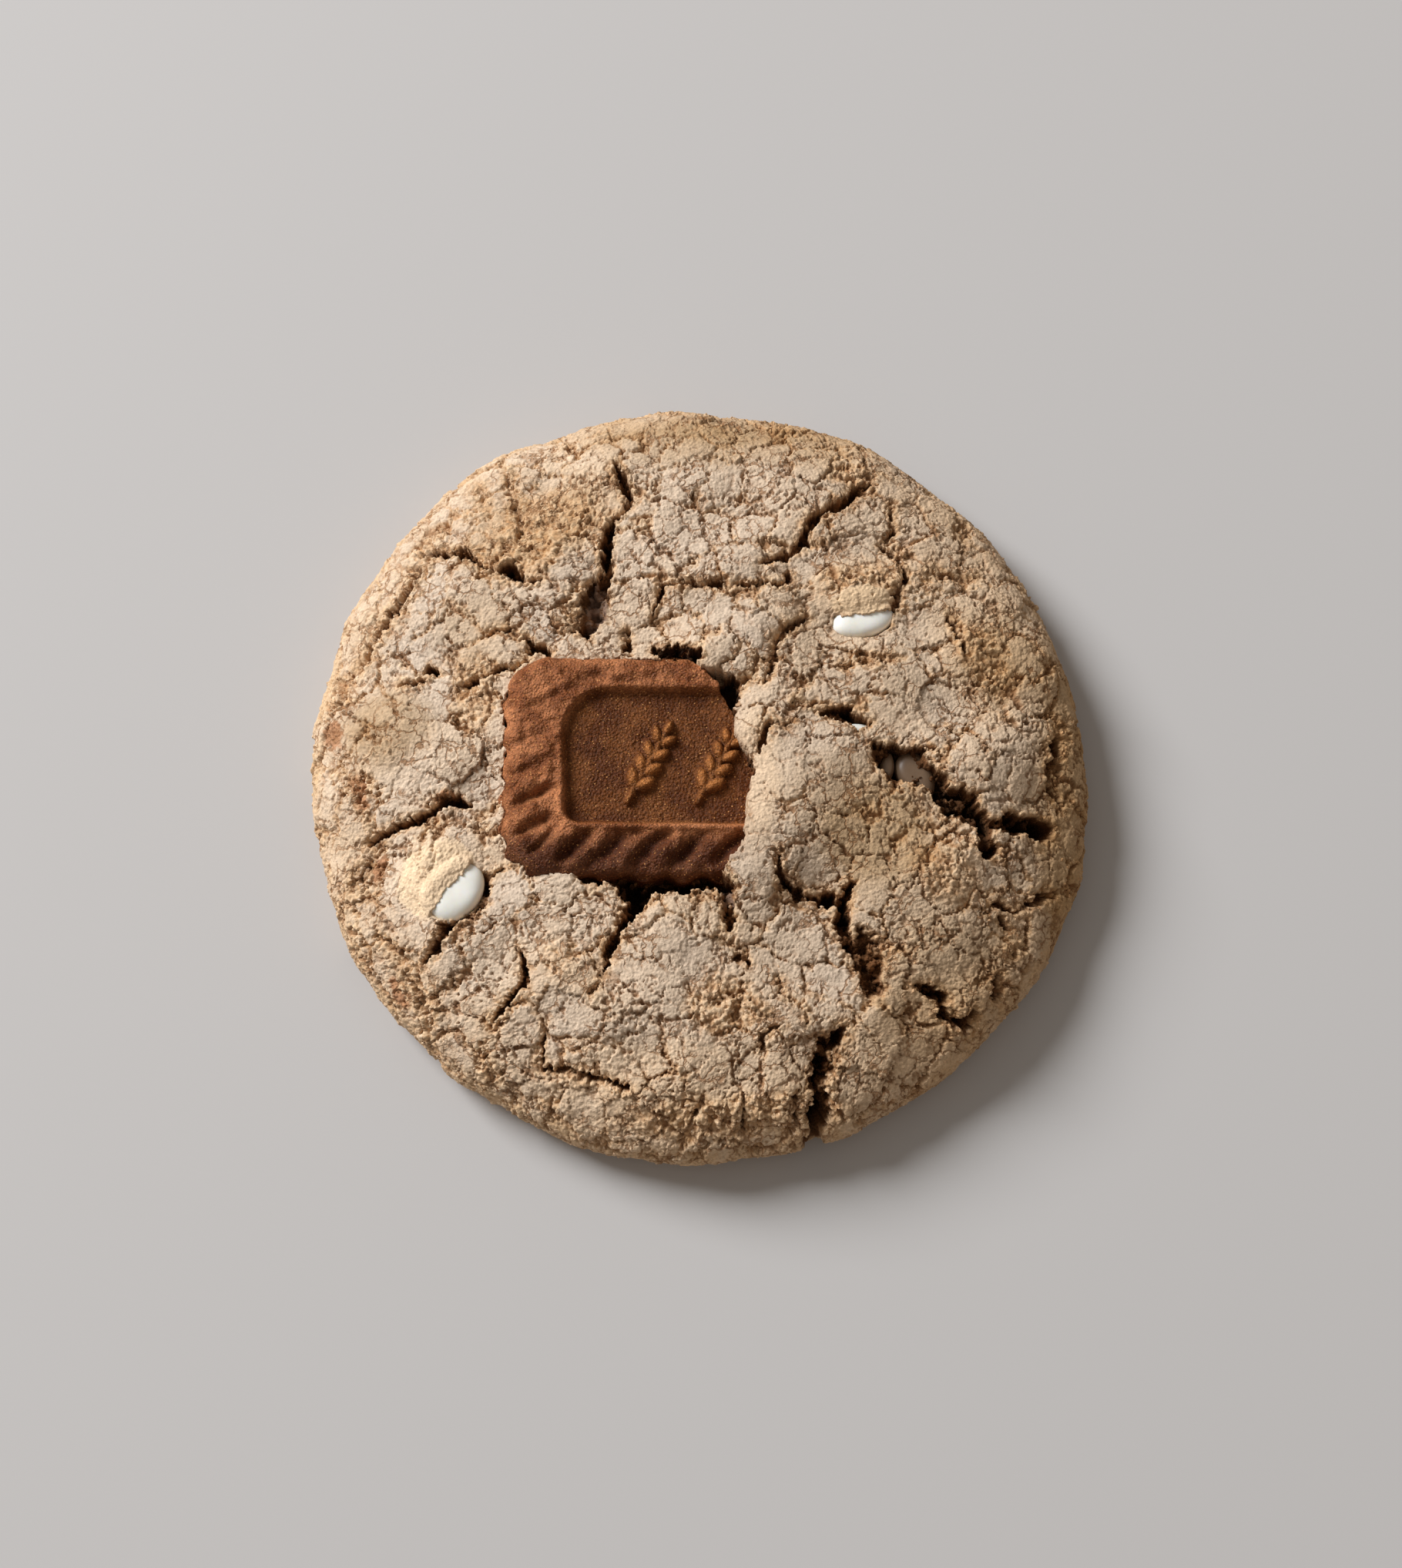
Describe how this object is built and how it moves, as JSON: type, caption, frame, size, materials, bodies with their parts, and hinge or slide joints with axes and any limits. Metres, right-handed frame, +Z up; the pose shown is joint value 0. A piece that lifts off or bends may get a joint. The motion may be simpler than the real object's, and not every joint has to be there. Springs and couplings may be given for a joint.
{
  "type": "cookie butter cookie",
  "caption": "Thick round cookie with a cracked crust, a piece of caramelised biscuit baked into its top, and white chips in the crust.",
  "frame": {"origin": "middle of the flat underside, on the surface that the cookie lies on", "axes": "+Z up through the cookie's thickness, +X to the right and +Y away from the viewer as the picture shows it"},
  "size_m": [0.108, 0.108, 0.0185],
  "materials": {
    "crust": "matt, chalky and sandy baked crust, golden brown at the rim and in the cracks",
    "caramel_biscuit": "baked sandy surface with a faint sugar sparkle",
    "white_chip": "smooth and softly glossy white confectionery"
  },
  "bodies": {
    "root": {"cookie": "crust", "biscuit": "caramel_biscuit", "chip_left": "white_chip", "chip_right": "white_chip", "chip_hole": "white_chip", "chip_gash": "white_chip", "chip_gash_small": "white_chip"}
  },
  "joints": []
}
